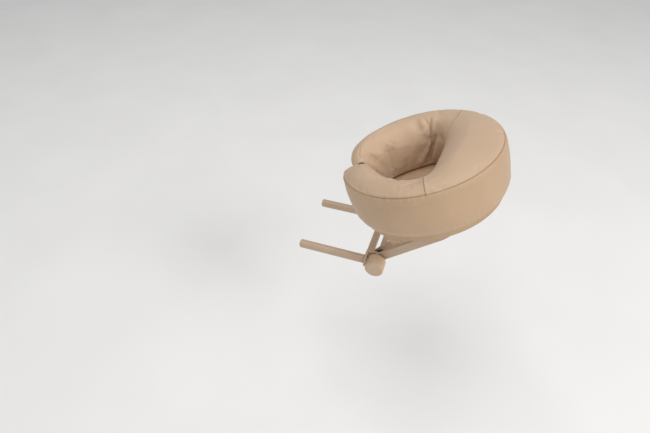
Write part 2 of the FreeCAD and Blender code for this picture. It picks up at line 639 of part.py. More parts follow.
# ---- check and write ----------------------------------------------------------------------

doc.recompute()
for feature in doc.Objects:
    if "Invalid" in feature.State or "Error" in feature.State:
        raise RuntimeError("%s is %s" % (feature.Label, feature.State))
for feature in subparts:
    if feature.Shape.isNull() or not feature.Shape.isValid() or not feature.Shape.Solids:
        raise RuntimeError("%s has no valid solid" % feature.Label)
for feature in subparts:
    feature.Shape.exportStep("parts/%s.step" % feature.Label)
    print(feature.Label, len(feature.Shape.Solids), round(feature.Shape.Volume))
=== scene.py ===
import json
import math

import bpy
import numpy as np
from mathutils import Matrix, Vector


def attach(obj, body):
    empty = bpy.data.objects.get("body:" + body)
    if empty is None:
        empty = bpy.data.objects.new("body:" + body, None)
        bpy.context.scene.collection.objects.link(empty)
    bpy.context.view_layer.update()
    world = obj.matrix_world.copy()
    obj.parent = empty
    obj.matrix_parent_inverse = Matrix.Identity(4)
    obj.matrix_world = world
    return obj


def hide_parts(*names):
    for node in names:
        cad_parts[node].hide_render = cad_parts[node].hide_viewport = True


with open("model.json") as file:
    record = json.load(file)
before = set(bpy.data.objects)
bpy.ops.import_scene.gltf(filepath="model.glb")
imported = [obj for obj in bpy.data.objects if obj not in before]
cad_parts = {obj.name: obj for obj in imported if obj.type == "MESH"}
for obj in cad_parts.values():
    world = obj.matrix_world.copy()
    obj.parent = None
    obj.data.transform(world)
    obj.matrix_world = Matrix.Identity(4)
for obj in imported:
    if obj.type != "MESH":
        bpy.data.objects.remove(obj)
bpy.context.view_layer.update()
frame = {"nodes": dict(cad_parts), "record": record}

# A face cradle: the CAD frame carries over, and the cushion's cover is built here as five sewn
# panels over a foam core. The cushion is drawn in its own frame, in millimetres: u towards the
# forehead, v towards the far side, w up from the rim seam. The scene is in metres.

SEAT_CENTRE = (0.072, 0.0, 0.251)   # the cushion's origin in the scene
SEAT_TILT = math.radians(20)
SEAT_TWIST = math.radians(6)
RADIUS = 150.6          # of the rim seam
SEAM_ANGLE = 70.0       # the radial seams, in degrees either side of the forehead
SLIT_TURN = 14.5        # degrees that the slit between the chin lobes is pushed to the near side
SLIT_HALF = 0.5         # half its gap
NEAR_ROUND = 14.0       # how far from the slit the near lobe starts to round over
FAR_ROUND = 60.0        # the same for the far lobe
DROOP_REACH = 62.0      # how far from the slit the lobes start to droop
LOBE_DROOP = 0.43       # share of the height over MID_HEIGHT that is lost at the slit
MID_HEIGHT = -38.0
CROWN = 10.5            # height of the crown
CROWN_SHARE = 0.43      # where the crown is highest, as a share of the ring's width
CROWN_REACH = 45.0      # and at most this far from the opening
ROLL_DROP = 34.0        # how far down the lip rolls
WALL_BULGE = 2.5        # of the inner wall, into the opening
BAND_BULGE = 2.4        # of the outer band
BAND_HEIGHT = 81.0
BAND_FOOT = -BAND_HEIGHT
FOOT_INSET = 1.0        # the band's foot inside its top
UNDERSIDE = -86.8
CORNER = 4.0            # roundness of the underside's edges
EDGE_SHARE = 0.2        # share of the underside's profile in each of them
CROWN_RUN = 60.0        # usual length over the crown, from its top to the rim seam
WALL_RUN = 45.0         # usual length of the inner wall, and of the lip's roll
STITCH = 4.4
SKIN = 1.5              # thickness of the cover
CORE_DEPTH = 9.0        # the foam under the outside of the cover
CORE_END = 166.0        # rib angle where the foam stops, short of the slit
MAX_GIVE = 3.2          # most that the cloth pass may move a point
CLOTH_FRAMES = 20
NEAR_END, FAR_END = 0, 1

to_row = (Matrix.Translation(Vector(SEAT_CENTRE)) @ Matrix.Rotation(-SEAT_TILT, 4, "Y")
          @ Matrix.Rotation(-SEAT_TWIST, 4, "Z"))
ROT = np.array([list(row)[:3] for row in to_row.to_3x3()])

# The ring's ribs: the angle of each at the rim, then its end at the opening, along and across.
# The opening's corner beside the forehead is sharp on the near side and soft on the far side.
FRONT_HALF = ([0, 15, 35], [36.5, 36.4, 36.2], [0, 15, 40])
NEAR_CORNER = ([53, 62, 69, 76, 84, 94], [36.3, 36.2, 33.5, 25.0, 9.0, -11.0],
               [66, 78, 87, 92, 92.5, 88.5])
FAR_CORNER = ([50, 58, 66, 74, 82, 93], [33.0, 29.0, 23.0, 14.0, 4.0, -12.0],
              [58, 69, 78, 84.5, 88, 87])
CHIN_HALF = ([110, 130, 150, 165, 180], [-42.0, -73.0, -94.0, -104.0, -107.0],
             [73, 52, 30, 13, 0])
PAST_CHIN = ([195, 210], [-104.0, -94.0], [-13, -30])


def opening_table(column, sign):
    """One column of the ribs' table, from past the chin on the near side round to the far side."""
    near = [FRONT_HALF, NEAR_CORNER, CHIN_HALF, PAST_CHIN]
    far = [FRONT_HALF, FAR_CORNER, CHIN_HALF, PAST_CHIN]
    near_values = [value for part in near for value in part[column]]
    far_values = [value for part in far for value in part[column]]
    return np.array([sign * value for value in near_values[:0:-1]] + far_values, float)


TABLE_ANGLE = opening_table(0, -1)
TABLE_ALONG = opening_table(1, 1)
TABLE_ACROSS = opening_table(2, -1)


def spline(x, xs, ys):
    """Cubic Hermite through the points, with finite-difference slopes."""
    slope = np.gradient(ys, xs)
    i = np.clip(np.searchsorted(xs, x) - 1, 0, len(xs) - 2)
    step = xs[i + 1] - xs[i]
    f = (x - xs[i]) / step
    h00 = 2 * f ** 3 - 3 * f ** 2 + 1
    h10 = f ** 3 - 2 * f ** 2 + f
    h01 = -2 * f ** 3 + 3 * f ** 2
    h11 = f ** 3 - f ** 2
    return h00 * ys[i] + h10 * step * slope[i] + h01 * ys[i + 1] + h11 * step * slope[i + 1]


def bell(x, width):
    return np.exp(-(x / width) ** 2)


def fade(x, low, high):
    """Smooth step from 0 at low to 1 at high."""
    f = np.clip((x - low) / (high - low), 0, 1)
    return f * f * (3 - 2 * f)


def crown_top(width):
    """Distance from the opening to the top of the crown."""
    return np.minimum(CROWN_SHARE * width, CROWN_REACH)


def profile(q, width):
    """Cross-section of the ring: distance from the opening and height, for a ring of that width.
    q is 0-1 on the inner wall, 1-2 on the lip's roll, 2-3 on the crown, 3-4 on the outer band
    and 4-5 on the underside."""
    f = q - np.floor(q)
    part = np.floor(q).astype(int)
    parts = [part == 0, part == 1, part == 2, part == 3]
    apex = crown_top(width)
    roll = f * math.pi / 2
    lip = CROWN - ROLL_DROP
    x = np.select(parts, [-WALL_BULGE * np.sin(math.pi * f),
                          apex * (1 - np.cos(roll)),
                          apex + (width - apex) * f,
                          width + BAND_BULGE * np.sin(math.pi * f) - FOOT_INSET * f], 0.0)
    w = np.select(parts, [BAND_FOOT + (lip - BAND_FOOT) * f,
                          lip + ROLL_DROP * np.sin(roll),
                          CROWN * (1 - f ** 2.2),
                          BAND_FOOT * f], 0.0)
    last = 1 - EDGE_SHARE
    corner_out = np.clip(f / EDGE_SHARE, 0, 1) * math.pi / 2
    corner_in = np.clip((f - last) / EDGE_SHARE, 0, 1) * math.pi / 2
    across = np.clip((f - EDGE_SHARE) / (1 - 2 * EDGE_SHARE), 0, 1)
    foot = width - FOOT_INSET
    flat_x = (foot - CORNER) * (1 - across) + CORNER * across
    under_x = np.where(f < EDGE_SHARE, foot - CORNER * (1 - np.cos(corner_out)),
                       np.where(f > last, CORNER * (1 - np.sin(corner_in)), flat_x))
    drop = BAND_FOOT - UNDERSIDE
    under_w = np.where(f < EDGE_SHARE, BAND_FOOT - drop * np.sin(corner_out),
                       np.where(f > last, UNDERSIDE + drop * (1 - np.cos(corner_in)), UNDERSIDE))
    return np.where(part >= 4, under_x, x), np.where(part >= 4, under_w, w)


def far_seam(q):
    """Angle of the far radial seam at each height of the profile."""
    return np.interp(q, [0, 1.3, 1.6, 2.0, 2.6, 3.0], [52.0, 52.0, 53.5, 58.5, 66.0, SEAM_ANGLE])


def turned_angles(angles, q):
    """Rib angles after the far seam's lean and the slit's turn, as a grid."""
    a = np.broadcast_to(angles[:, None], (len(angles), len(q)))
    lean = (far_seam(q) - SEAM_ANGLE)[None, :] * bell(a - SEAM_ANGLE, 34.0)
    return a + lean + SLIT_TURN * fade(np.abs(a), 95, 180)


def slit_distance(u, v, side):
    """Distance from the slit's plane, on the lobe's own side of it."""
    turn = math.radians(SLIT_TURN)
    return side * (v * math.cos(turn) - u * math.sin(turn))


def held_at_slit(u, v, side, share):
    """Points moved back where they cross the slit's plane."""
    turn = math.radians(SLIT_TURN)
    short = np.clip(SLIT_HALF - slit_distance(u, v, side), 0, None) * share
    return u - side * short * math.sin(turn), v + side * short * math.cos(turn)


def lobe_end(reach, first_power, last_power):
    """Share of the section's width that is kept towards the slit. The powers set how full it is."""
    return np.clip(1 - (0.97 * reach) ** first_power, 0, 1) ** last_power


def opening_and_rim(a):
    """Both ends of each rib, and its length."""
    inner_u, inner_v = spline(a, TABLE_ANGLE, TABLE_ALONG), spline(a, TABLE_ANGLE, TABLE_ACROSS)
    outer_u, outer_v = RADIUS * np.cos(np.radians(a)), RADIUS * np.sin(np.radians(a))
    return inner_u, inner_v, outer_u, outer_v, np.hypot(outer_u - inner_u, outer_v - inner_v)


def side_of(angles):
    """-1 on the near side and 1 on the far side, as a column."""
    return np.where(angles < 0, -1.0, 1.0)[:, None]


def ring_surface(angles, q):
    """Points of the cushion in its own frame, one row of the grid for each angle."""
    side = side_of(angles)
    chin = fade(np.abs(angles), 110, 125)[:, None]
    a = turned_angles(angles, q)
    inner_u, inner_v, outer_u, outer_v, width = opening_and_rim(a)
    x, w = profile(np.broadcast_to(q[None, :], a.shape), width)
    middle_u, middle_v = 0.5 * (inner_u + outer_u), 0.5 * (inner_v + outer_v)
    # The lobes end rounded in plan and droop: each section draws in on itself. The near one stays
    # fuller, with a higher shoulder at the rim.
    from_slit = np.clip(slit_distance(middle_u, middle_v, side) - SLIT_HALF, 0, None)
    reach = np.clip(1 - from_slit / np.where(side < 0, NEAR_ROUND, FAR_ROUND), 0, 1)
    keep_x = np.where(side < 0, lobe_end(reach, 2.5, 0.42), lobe_end(reach, 1.7, 0.6))
    droop = LOBE_DROOP * np.clip(1 - from_slit / DROOP_REACH, 0, 1) ** 2.2
    shoulder = fade(x / width, 0.35, 1.0)
    droop = droop * np.where(side < 0, 1.12 - 0.5 * shoulder, 1.0)
    keep_w = np.where(w > MID_HEIGHT, 1 - droop, 1 - 0.03 * reach)
    keep_x, keep_w = 1 - chin * (1 - keep_x), 1 - chin * (1 - keep_w)
    pivot = 0.27 * width
    x = pivot + (x - pivot) * keep_x
    w = MID_HEIGHT + (w - MID_HEIGHT) * keep_w
    u = inner_u + (outer_u - inner_u) * x / width
    v = inner_v + (outer_v - inner_v) * x / width
    # Neither lobe crosses the slit's plane, and the near one rides a little over the far one.
    u, v = held_at_slit(u, v, side, chin)
    w = w - side * 1.8 * fade(w, -75, -20) * chin * bell(from_slit, 30.0)
    return np.stack([u, v, w], axis=-1)


def surface_normals(points, q):
    """Unit normals of the grid, and the sign that turns them outwards."""
    along = np.gradient(points, axis=0)
    around = (np.roll(points, -1, axis=1) - np.roll(points, 1, axis=1))
    n = np.cross(around, along)
    n /= np.maximum(np.linalg.norm(n, axis=-1, keepdims=True), 1e-9)
    crown_column = int(np.argmin(np.abs(q - 2.2)))
    return n, np.sign((n[:, crown_column] @ np.array([0.0, 0.0, 1.0])).mean())


def grid_faces(rows, columns):
    """Quads of a grid that closes round in its second direction."""
    i = np.arange(rows - 1)[:, None]
    j = np.arange(columns)[None, :]
    k = (j + 1) % columns
    faces = np.stack([i * columns + j, i * columns + k, (i + 1) * columns + k,
                      (i + 1) * columns + j], axis=-1)
    return faces.reshape(-1, 4)


CAP_RINGS = (0.86, 0.70, 0.54, 0.38, 0.22, 0.08)


def add_caps(points, faces):
    """Closes both ends of the tube with shrinking rings; gives points, faces and middle n-gons."""
    rows, columns, _ = points.shape
    all_points, all_faces, middles = [points.reshape(-1, 3)], [faces], []
    count = rows * columns
    for end, row in ((NEAR_END, points[0]), (FAR_END, points[-1])):
        centre = row.mean(axis=0)
        ring = np.arange(columns) + (0 if end == NEAR_END else (rows - 1) * columns)
        for factor in CAP_RINGS:
            ids = count + np.arange(columns)
            all_points.append(centre + (row - centre) * factor)
            count += columns
            quads = np.stack([ring, ids, np.roll(ids, -1), np.roll(ring, -1)], axis=-1)
            all_faces.append(quads if end == NEAR_END else quads[:, ::-1])
            ring = ids
        middles.append(ring[::-1] if end == NEAR_END else ring)
    return np.concatenate(all_points), np.concatenate(all_faces), middles


def make_mesh(name, points, quads, polygons=()):
    """A smooth-shaded mesh object of the points that its faces use, and their numbers."""
    used = np.unique(np.concatenate([quads.ravel()] + list(polygons)))
    index = np.full(len(points), -1, np.int64)
    index[used] = np.arange(len(used))
    loops = np.concatenate([index[quads].ravel()] + [index[p] for p in polygons])
    sizes = np.concatenate([np.full(len(quads), 4), [len(p) for p in polygons]]).astype(np.int32)
    starts = np.concatenate([[0], np.cumsum(sizes)[:-1]]).astype(np.int32)
    mesh = bpy.data.meshes.new(name)
    mesh.vertices.add(len(used))
    mesh.vertices.foreach_set("co", points[used].astype(np.float32).ravel())
    mesh.loops.add(len(loops))
    mesh.loops.foreach_set("vertex_index", loops.astype(np.int32))
    mesh.polygons.add(len(sizes))
    mesh.polygons.foreach_set("loop_start", starts)
    mesh.update(calc_edges=True)
    mesh.validate()
    mesh.polygons.foreach_set("use_smooth", np.ones(len(mesh.polygons), bool))
    obj = bpy.data.objects.new(name, mesh)
    bpy.context.scene.collection.objects.link(obj)
    return obj, used


def to_scene(points):
    return (points / 1000.0) @ ROT.T + np.array(SEAT_CENTRE)


# ---- cloth pass on a coarse skin ----------------------------------------------------------

coarse_angles = np.concatenate([[-180, -178.6, -176.8, -174.6, -171.5],
                                np.linspace(-168, 168, 141),
                                [171.5, 174.6, 176.8, 178.6, 180]])
coarse_q = np.concatenate([np.linspace(0, 1, 12, endpoint=False),
                           1 + np.linspace(0, 1, 9, endpoint=False),
                           2 + np.linspace(0, 1, 13, endpoint=False),
                           3 + np.linspace(0, 1, 15, endpoint=False),
                           4 + np.array([0, 0.1, 0.2]),
                           4.2 + 0.6 * np.linspace(0.1, 0.9, 9),
                           4 + np.array([0.8, 0.9])])


def cloth_give():
    """How far a pressed cloth skin moves off the drawn surface, on the coarse grid, in mm."""
    rest = ring_surface(coarse_angles, coarse_q)
    rows, columns = len(coarse_angles), len(coarse_q)
    points, faces, middles = add_caps(rest, grid_faces(rows, columns))
    obj, _ = make_mesh("cloth_skin", points / 1000.0, faces, middles)
    # Held at the rim seam, under the ring, at the wall's foot, and at both ends and their caps.
    fixed = set(range(rows * columns, len(points)))
    for row in range(rows):
        for column, q in enumerate(coarse_q):
            if abs(q - 3) < 0.01 or q >= 4 or q < 0.05 or row < 2 or row > rows - 3:
                fixed.add(row * columns + column)
    obj.vertex_groups.new(name="pin").add(sorted(fixed), 1.0, "REPLACE")
    cloth = obj.modifiers.new("cloth", "CLOTH")
    cloth.settings.quality = 6
    cloth.settings.mass = 0.3
    cloth.settings.tension_stiffness = 12
    cloth.settings.compression_stiffness = 12
    cloth.settings.shear_stiffness = 5
    cloth.settings.bending_stiffness = 0.6
    cloth.settings.vertex_group_mass = "pin"
    cloth.settings.use_pressure = True
    cloth.settings.uniform_pressure_force = 4.0
    cloth.settings.effector_weights.gravity = 0.0
    cloth.settings.shrink_min = -0.012
    cloth.collision_settings.use_collision = False
    for number in range(1, CLOTH_FRAMES + 1):
        bpy.context.scene.frame_set(number)
    shaped = obj.evaluated_get(bpy.context.evaluated_depsgraph_get()).to_mesh()
    co = np.zeros(len(shaped.vertices) * 3, np.float32)
    shaped.vertices.foreach_get("co", co)
    moved = co.reshape(-1, 3) * 1000.0
    bpy.context.scene.frame_set(1)
    bpy.data.objects.remove(obj)
    give = (moved[:rows * columns] - points[:rows * columns]).reshape(rest.shape)
    length = np.linalg.norm(give, axis=-1, keepdims=True)
    return give * np.minimum(1, MAX_GIVE / np.maximum(length, 1e-6))


give = cloth_give()


def catmull(field, position, closed):
    """Samples a field along its first axis at fractional rows."""
    count = len(field)
    base = np.floor(position).astype(int)
    f = (position - base)[:, None, None]
    pick = []
    for shift in (-1, 0, 1, 2):
        index = base + shift
        index = index % count if closed else np.clip(index, 0, count - 1)
        pick.append(field[index])
    a, b, c, d = pick
    return 0.5 * (2 * b + (c - a) * f + (2 * a - 5 * b + 4 * c - d) * f ** 2
                  + (3 * b - a - 3 * c + d) * f ** 3)


def spread_give(angles, q):
    """The cloth pass's movement on another grid of angles and heights."""
    rows = np.interp(angles, coarse_angles, np.arange(len(coarse_angles)))
    columns = np.interp(q, np.append(coarse_q, 5.0), np.arange(len(coarse_q) + 1))
    by_row = catmull(give, rows, False)
    return catmull(by_row.transpose(1, 0, 2), columns, True).transpose(1, 0, 2)


# ---- fine skin with seams, gathers and puckers --------------------------------------------

near_seams = np.concatenate([s * SEAM_ANGLE + np.linspace(-1.4, 1.4, 25) for s in (-1, 1)])
fine_angles = np.unique(np.concatenate([
    np.linspace(-174, 174, 760), near_seams,
    -180 + np.linspace(0, 6, 22), 180 - np.linspace(0, 6, 22)]))
seam_offsets = np.array([0.25, 0.5, 0.75, 1.0, 1.3, 1.6, 2.0, 2.5, 3.0, 3.6, 4.4])
fine_q = np.unique(np.concatenate([
    np.linspace(0, 1, 46, endpoint=False), np.linspace(1, 2, 40, endpoint=False),
    np.linspace(2, 3, 60), 3 - seam_offsets / CROWN_RUN, 3 + seam_offsets / BAND_HEIGHT,
    np.linspace(3, 4, 64), 4 + np.linspace(0.02, 0.2, 7), 4.2 + np.linspace(0.05, 0.55, 12),
    4.8 + np.linspace(0, 0.18, 6)]))


def wave(x, terms):
    """A smooth irregular wave: (frequency, height, phase) terms."""
    return sum(height * np.sin(frequency * x + phase) for frequency, height, phase in terms)


# Gathers at the opening's front corners, drawn for the far side. Each runs between two heights of
# the profile through three rib angles, with its half width in degrees and its rise in mm.
FOLDS = [
    (0.50, 1.92, 92.0, 89.0, 91.5, 1.6, -3.0),
    (1.20, 1.92, 89.5, 92.8, 98.5, 1.8, -2.0),
    (-0.15, 1.15, 102.0, 91.5, 81.0, 3.2, -6.5),
    (0.00, 1.00, 108.0, 98.5, 88.0, 3.2, 2.6),
    (-0.05, 1.05, 94.5, 85.5, 76.0, 2.4, 2.2),
    (1.25, 2.05, 100.0, 104.0, 107.0, 4.8, -2.2),
    (1.10, 2.00, 94.5, 98.0, 102.0, 2.4, 1.3),
    (0.95, 1.95, 84.5, 85.0, 87.0, 2.6, 1.5),
    (0.60, 1.40, 103.0, 99.0, 96.5, 5.5, 2.2),
    (0.20, 0.85, 110.0, 105.5, 101.0, 4.6, -2.0),
    (-0.10, 0.30, 103.0, 104.5, 106.0, 2.4, 1.4),
    (0.05, 1.30, 136.0, 156.0, 175.0, 7.0, -2.0),
    (0.30, 1.75, 122.0, 118.0, 114.0, 6.0, -0.8),
]


def fold_field(a, s, side, strength, shift):
    """The gathers of one corner, on a grid of rib angles and heights."""
    total = 0
    for low, high, first, second, third, spread, rise in FOLDS:
        f = (s - low) / (high - low)
        centre = (first * (1 - f) * (1 - 2 * f) + second * 4 * f * (1 - f)
                  + third * f * (2 * f - 1)) + shift
        ends = np.clip(4 * f * (1 - f), 0, 1) ** 0.7
        total = total + strength * rise * ends * bell(side * a - centre, spread)
    return total


def seam_distance(t, s, side):
    """Distance from a radial seam, in mm, from its angle and a typical radius at that height."""
    radius_here = 92 + 58 * np.clip(s - 2, 0, 1)
    return np.abs(t - side * SEAM_ANGLE) * math.pi / 180 * radius_here


def stitches(length, off, width, height):
    """The rise and fall of a line of stitches."""
    return height * np.cos(length * 2 * math.pi / STITCH) * bell(off, width)


def relief(angles, q):
    """Movement along the surface's normal, in mm: seams, gathers, puckers, slow unevenness."""
    t = angles[:, None]
    s = q[None, :]
    a = turned_angles(angles, q)
    width = opening_and_rim(a)[-1]
    crown_length = width - crown_top(width)
    above = np.clip(3 - s, 0, None) * crown_length      # from the rim seam, up over the crown
    below = np.clip(s - 3, 0, None) * BAND_HEIGHT       # from the rim seam, down the band
    arc = np.radians(a) * RADIUS
    # The rim seam: a groove, with the cover standing up a little on both sides of it.
    from_rim = np.where(s < 3, above, below)
    move = -1.7 * bell(from_rim, 0.95)
    move = move + np.where(s >= 3, 0.6 * bell(below - 2.5, 1.4), 0.45 * bell(above - 2.4, 1.7))
    move = move + stitches(arc, from_rim - 1.8, 1.2, 0.14)
    # The radial seams over the crown and down the lip.
    along_seam = crown_length * np.clip(s - 2, 0, 1) + WALL_RUN * np.clip(s, 0, 2)
    for side in (-1, 1):
        off = seam_distance(t, s, side)
        move = move + (s < 3) * (-1.5 * bell(off, 0.85) + 0.4 * bell(off - 2.2, 1.4)
                                 + stitches(along_seam, off - 1.7, 1.1, 0.12))
    move = move + fold_field(a, s, 1, 1.0, 0.0) + fold_field(a, s, -1, 0.8, 1.5)
    # Puckers on both sides of the rim seam, strongest on the near side of the band.
    ripple = wave(arc, [(0.52, 0.5, 0.3), (0.83, 0.34, 1.9), (0.31, 0.4, 4.0)])
    patch = 0.3 + 0.7 * fade(wave(arc, [(0.045, 0.5, 1.0), (0.021, 0.5, 2.2)]), -0.3, 0.7)
    patch = patch + 0.9 * fade(-a, 58, 72) * (1 - fade(-a, 104, 118))
    move = move + np.where(s >= 3, 0.30 * ripple * patch * bell(below - 3.6, 6.5), 0)
    move = move + np.where(s < 3, 0.12 * ripple * patch * bell(above - 3.0, 7.0), 0)
    # A level crease on the near side of the band.
    crease_reach = fade(-a, 62, 78) * (1 - fade(-a, 100, 116))
    crease_line = 13.0 + 1.6 * np.sin(0.11 * arc) + 0.8 * np.sin(0.37 * arc)
    crease_rise = 0.55 * bell(below - crease_line, 2.4) - 0.6 * bell(below - crease_line - 4.4, 2.6)
    move = move + np.where(s >= 3, crease_reach * crease_rise, 0)
    # Gathers at the band's foot, and a slow unevenness of the whole cover.
    foot_off = np.clip(4 - s, 0, None) * BAND_HEIGHT
    gathers = 0.35 * ripple * bell(foot_off - 7, 6.0) * fade(foot_off, 0, 6)
    move = move + np.where((s >= 3) & (s < 4), gathers, 0)
    slow = (wave(arc + 18 * s, [(0.038, 0.5, 0.4), (0.071, 0.3, 2.0)]) * np.sin(2.2 * s + 0.5)
            + 0.35 * wave(arc - 30 * s, [(0.10, 0.5, 1.4), (0.16, 0.3, 0.2)]))
    move = move + 0.7 * slow * (1 - fade(s, 3.9, 4.1)) * fade(s, 0.0, 0.2)
    return move * fade(180 - np.abs(t), 0.0, 5.0)


# Half width of the painted shade along the sewn seams, in mm.
CREASE_SHADE_WIDTH = 1.25


def crease_painted_shade(angles, q):
    """How much painted shade a point gets in the grooves of the sewn seams, 0 to 1."""
    t = angles[:, None]
    s = q[None, :]
    from_rim = np.where(s < 3, (3 - s) * CROWN_RUN, (s - 3) * BAND_HEIGHT)
    tint = bell(from_rim, CREASE_SHADE_WIDTH)
    for side in (-1, 1):
        tint = np.maximum(tint, (s < 3.0) * bell(seam_distance(t, s, side), CREASE_SHADE_WIDTH))
    return tint


skin = ring_surface(fine_angles, fine_q) + spread_give(fine_angles, fine_q)
normals, facing = surface_normals(skin, fine_q)
skin = skin + normals * facing * relief(fine_angles, fine_q)[..., None]
skin[..., 0], skin[..., 1] = held_at_slit(skin[..., 0], skin[..., 1], side_of(fine_angles),
                                          (np.abs(fine_angles) > 120)[:, None])

rows, columns = len(fine_angles), len(fine_q)
quads = grid_faces(rows, columns)
if facing > 0:
    quads = quads[:, ::-1]
points, all_quads, middles = add_caps(skin, quads)
cap_quads = all_quads[len(quads):]
per_end = len(cap_quads) // 2
scene_points = to_scene(points)
# Painted shade along the grooves of the sewn seams, kept for each point.
crease_shade = np.zeros(len(points))
crease_shade[:rows * columns] = crease_painted_shade(fine_angles, fine_q).ravel()

# The middle of each quad says which panel it belongs to.
between_ribs = 0.5 * (fine_angles[:-1] + fine_angles[1:])
between_heights = 0.5 * (fine_q + np.append(fine_q[1:], 5.0))
mid_angle = np.repeat(between_ribs, columns)
mid_q = np.tile(between_heights, rows - 1)
over = mid_q < 3
front = np.abs(mid_angle) < SEAM_ANGLE
panel_faces = {
    "forehead_panel": over & front,
    "cheek_panel_near": over & ~front & (mid_angle < 0),
    "cheek_panel_far": over & ~front & (mid_angle > 0),
    "outer_band": (mid_q > 3) & (mid_q < 4.2),
    "bottom_panel": mid_q > 4.2,
}
CAPPED = {"cheek_panel_near": NEAR_END, "cheek_panel_far": FAR_END}


# ---- materials ----------------------------------------------------------------------------

def srgb(r, g, b):
    def linear(c):
        c /= 255.0
        return c / 12.92 if c <= 0.04045 else ((c + 0.055) / 1.055) ** 2.4
    return (linear(r), linear(g), linear(b), 1.0)


def scaled(colour, factor):
    return tuple(c * factor for c in colour[:3]) + (1.0,)


def new_material(name, colour, roughness, specular, metallic=0.0):
    """A material, its node tree, its shader, and where on the object a texture is read."""
    material = bpy.data.materials.new(name)
    material.use_nodes = True
    tree = material.node_tree
    shader = tree.nodes["Principled BSDF"]
    shader.inputs["Base Color"].default_value = colour
    shader.inputs["Roughness"].default_value = roughness
    shader.inputs["Metallic"].default_value = metallic
    shader.inputs["Specular IOR Level"].default_value = specular
    where = tree.nodes.new("ShaderNodeTexCoord").outputs["Object"]
    return material, tree, shader, where


def noise(tree, where, scale, detail=3.0, rough=0.5):
    node = tree.nodes.new("ShaderNodeTexNoise")
    node.inputs["Scale"].default_value = scale
    node.inputs["Detail"].default_value = detail
    node.inputs["Roughness"].default_value = rough
    tree.links.new(where, node.inputs["Vector"])
    return node.outputs["Fac"]


def cell_distance(tree, where, scale, feature="F1"):
    node = tree.nodes.new("ShaderNodeTexVoronoi")
    node.feature = feature
    node.inputs["Scale"].default_value = scale
    tree.links.new(where, node.inputs["Vector"])
    return node.outputs["Distance"]


def tint_by(tree, shader, factor, first, second, low=0.3, high=0.7):
    """Colours the shader from first to second as the factor goes from low to high."""
    ramp = tree.nodes.new("ShaderNodeValToRGB")
    ramp.color_ramp.elements[0].position = low
    ramp.color_ramp.elements[0].color = first
    ramp.color_ramp.elements[1].position = high
    ramp.color_ramp.elements[1].color = second
    tree.links.new(factor, ramp.inputs["Fac"])
    tree.links.new(ramp.outputs["Color"], shader.inputs["Base Color"])
    return ramp.outputs["Color"]


def spread_roughness(tree, shader, factor, low, high):
    node = tree.nodes.new("ShaderNodeMapRange")
    node.inputs["To Min"].default_value = low
    node.inputs["To Max"].default_value = high
    tree.links.new(factor, node.inputs["Value"])
    tree.links.new(node.outputs["Result"], shader.inputs["Roughness"])


def bump(tree, shader, height, strength, distance):
    """Adds a bump on top of the shader's bumps so far."""
    node = tree.nodes.new("ShaderNodeBump")
    node.inputs["Strength"].default_value = strength
    node.inputs["Distance"].default_value = distance
    tree.links.new(height, node.inputs["Height"])
    previous = shader.inputs["Normal"].links
    if previous:
        tree.links.new(previous[0].from_socket, node.inputs["Normal"])
    tree.links.new(node.outputs["Normal"], shader.inputs["Normal"])


VINYL = srgb(203, 174, 145)
# The band's vinyl is the top's vinyl made a little darker and warmer: painted shade on the
# cushion's side.
VINYL_BAND_SHADED = srgb(200, 169, 137)
# Colour multiplied into the vinyl along the sewn seams: painted shade in their grooves.
SEAM_SHADE = (0.36, 0.26, 0.19, 1.0)


def vinyl(name, colour):
    material, tree, shader, where = new_material(name, colour, roughness=0.5, specular=0.35)
    mottle = noise(tree, where, scale=14.0, detail=4.0)
    plain = tint_by(tree, shader, mottle, scaled(colour, 0.955), scaled(colour, 1.03))
    # The grooves of the sewn seams are darkened with painted shade, read from the point attribute.
    seam_shade_node = tree.nodes.new("ShaderNodeAttribute")
    seam_shade_node.attribute_name = "crease_shade"
    mix = tree.nodes.new("ShaderNodeMix")
    mix.data_type = "RGBA"
    mix.blend_type = "MULTIPLY"
    mix.inputs["B"].default_value = SEAM_SHADE
    tree.links.new(seam_shade_node.outputs["Fac"], mix.inputs["Factor"])
    tree.links.new(plain, mix.inputs["A"])
    tree.links.new(mix.outputs["Result"], shader.inputs["Base Color"])
    spread_roughness(tree, shader, noise(tree, where, scale=60.0), low=0.44, high=0.58)
    leather_grain = cell_distance(tree, where, scale=950.0, feature="DISTANCE_TO_EDGE")
    bump(tree, shader, leather_grain, strength=0.22, distance=0.00012)
    bump(tree, shader, noise(tree, where, scale=240.0, detail=2.0), strength=0.12, distance=0.0004)
    shader.inputs["Sheen Weight"].default_value = 0.08
    shader.inputs["Sheen Roughness"].default_value = 0.5
    return material


def painted(name, colour, roughness, grain=500.0):
    material, tree, shader, where = new_material(name, colour, roughness, specular=0.45)
    mottle = noise(tree, where, scale=30.0)
    tint_by(tree, shader, mottle, scaled(colour, 0.94), scaled(colour, 1.03))
    wear = noise(tree, where, scale=90.0)
    spread_roughness(tree, shader, wear, low=roughness - 0.05, high=roughness + 0.07)
    bump(tree, shader, noise(tree, where, grain, detail=2.0), strength=0.10, distance=0.0003)
    return material


def plated(name, colour, roughness):
    material, tree, shader, where = new_material(name, colour, roughness, specular=0.5,
                                                 metallic=1.0)
    mottle = noise(tree, where, scale=120.0)
    tint_by(tree, shader, mottle, scaled(colour, 0.86), scaled(colour, 1.05))
    wear = noise(tree, where, scale=300.0)
    spread_roughness(tree, shader, wear, low=roughness - 0.06, high=roughness + 0.1)
    return material


def board_paint(name, colour):
    """Paint over wood: the noise is stretched into grain along the board."""
    material, tree, shader, where = new_material(name, colour, roughness=0.55, specular=0.4)
    stretch = tree.nodes.new("ShaderNodeMapping")
    stretch.inputs["Scale"].default_value = (12.0, 160.0, 160.0)
    tree.links.new(where, stretch.inputs["Vector"])
    grain = noise(tree, stretch.outputs["Vector"], scale=2.0, detail=5.0)
    tint_by(tree, shader, grain, scaled(colour, 0.93), scaled(colour, 1.02))
    bump(tree, shader, grain, strength=0.10, distance=0.0003)
    return material


